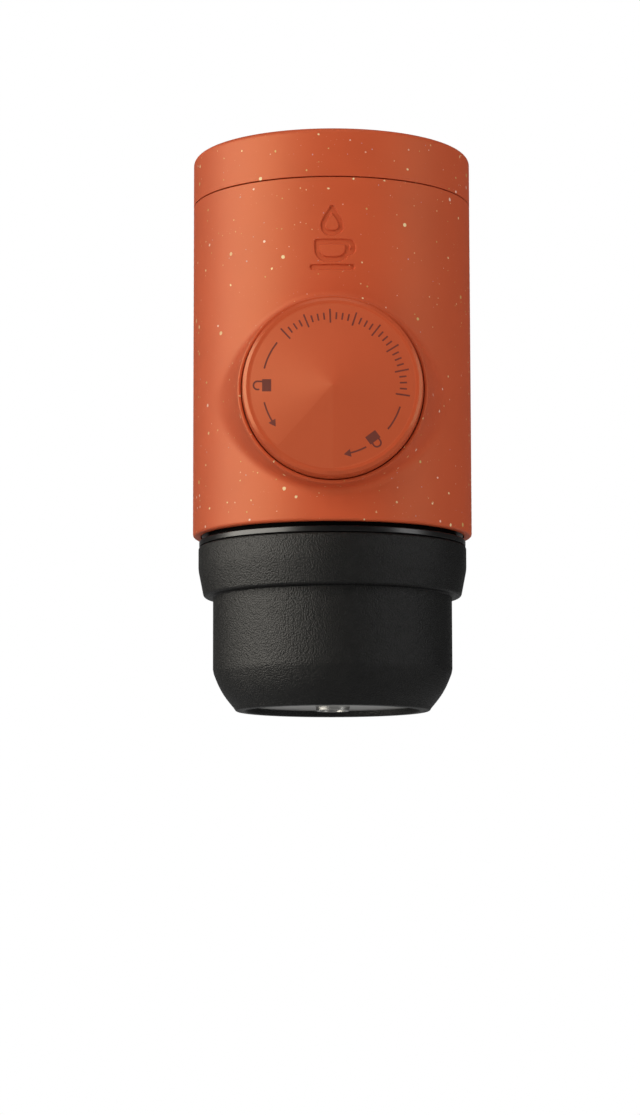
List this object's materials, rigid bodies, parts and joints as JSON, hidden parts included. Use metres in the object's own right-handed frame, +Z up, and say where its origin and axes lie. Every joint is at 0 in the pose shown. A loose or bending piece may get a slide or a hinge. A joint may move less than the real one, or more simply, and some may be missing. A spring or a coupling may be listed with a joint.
{
  "type": "handheld manual espresso maker",
  "caption": "Tube-shaped manual espresso maker with a water tank on top, a press-and-turn pump knob on its side and a screw-on brewing cup below.",
  "frame": {"origin": "centre of the outlet nozzle's mouth, in the plane of the outlet rim", "axes": "+Z up the body to the tank end, -Y out of the pump knob's face, +X to the right seen from the knob's side"},
  "size_m": [0.062, 0.0723, 0.124],
  "materials": {
    "shell_plastic": "matte terracotta plastic with fine pale flecks",
    "black_plastic": "black plastic with a fine moulded grain",
    "graphite_plastic": "dark grey glass-filled plastic",
    "smoked_plastic": "smoked clear plastic",
    "natural_plastic": "white machined plastic",
    "stainless": "satin stainless steel",
    "spring_steel": "drawn spring wire",
    "screw_steel": "stainless screws",
    "silicone": "translucent white silicone"
  },
  "bodies": {
    "main_body": {"outer_shell": "shell_plastic", "tank_socket": "graphite_plastic", "inlet_strainer": "stainless", "socket_seal": "silicone", "socket_screws": "screw_steel", "pump_housing": "graphite_plastic", "pump_barrel": "stainless", "barrel_plug": "natural_plastic", "plug_seal": "silicone", "rod_guide": "natural_plastic", "guide_bush": "black_plastic", "return_spring": "spring_steel", "inlet_seat": "natural_plastic", "inlet_spring": "spring_steel", "outlet_seat": "natural_plastic", "outlet_spring": "spring_steel", "spring_retainer": "natural_plastic", "brew_head": "black_plastic", "head_seal": "silicone", "head_screws": "screw_steel", "shower_screen": "stainless", "screen_screw": "screw_steel"},
    "piston": {"piston_rod": "natural_plastic", "piston_seal": "silicone", "knob_screw": "screw_steel"},
    "knob": {"piston_sleeve": "black_plastic", "knob_cap": "shell_plastic"},
    "inlet_valve": {"inlet_ball": "stainless"},
    "outlet_valve": {"outlet_ball": "stainless"},
    "seal_ring": {"tank_seal": "silicone"},
    "tank": {"water_tank": "smoked_plastic", "tank_cap": "shell_plastic"},
    "gasket_ring": {"brew_gasket": "silicone"},
    "basket": {"filter_basket": "stainless"},
    "brewing_cup": {"portafilter": "black_plastic", "outlet_plate": "stainless", "plate_seal": "silicone"}
  },
  "joints": [
    {"name": "pump_stroke", "type": "slide", "parent": "main_body", "child": "piston", "axis": [0, -1, 0], "range_m": [0, 0.016], "stiffness_N_per_m": 490, "springref_m": 0.022, "deforming": ["return_spring"]},
    {"name": "knob_lock", "type": "hinge", "parent": "piston", "child": "knob", "pos_m": [0, -0.036, 0.0659], "axis": [0, 1, 0], "range_deg": [0, 45]},
    {"name": "inlet_opening", "type": "slide", "parent": "main_body", "child": "inlet_valve", "axis": [0, 0, -1], "range_m": [0, 0.0008], "stiffness_N_per_m": 60, "springref_m": -0.001, "deforming": ["inlet_spring"]},
    {"name": "outlet_opening", "type": "slide", "parent": "main_body", "child": "outlet_valve", "axis": [0, 0, -1], "range_m": [0, 0.0008], "stiffness_N_per_m": 60, "springref_m": -0.001, "deforming": ["outlet_spring"]},
    {"name": "tank_turn", "type": "hinge", "parent": "main_body", "child": "seal_ring", "pos_m": [0, 0, 0.0885], "axis": [0, 0, 1], "range_deg": [0, 360]},
    {"name": "tank_lift", "type": "slide", "parent": "seal_ring", "child": "tank", "axis": [0, 0, 1], "range_m": [0, 0.06]},
    {"name": "brewing_cup_turn", "type": "hinge", "parent": "main_body", "child": "gasket_ring", "pos_m": [0, 0, 0.027], "axis": [0, 0, -1], "range_deg": [0, 360]},
    {"name": "basket_drop", "type": "slide", "parent": "gasket_ring", "child": "basket", "axis": [0, 0, -1], "range_m": [0, 0.04]},
    {"name": "brewing_cup_drop", "type": "slide", "parent": "basket", "child": "brewing_cup", "axis": [0, 0, -1], "range_m": [0, 0.04]}
  ]
}
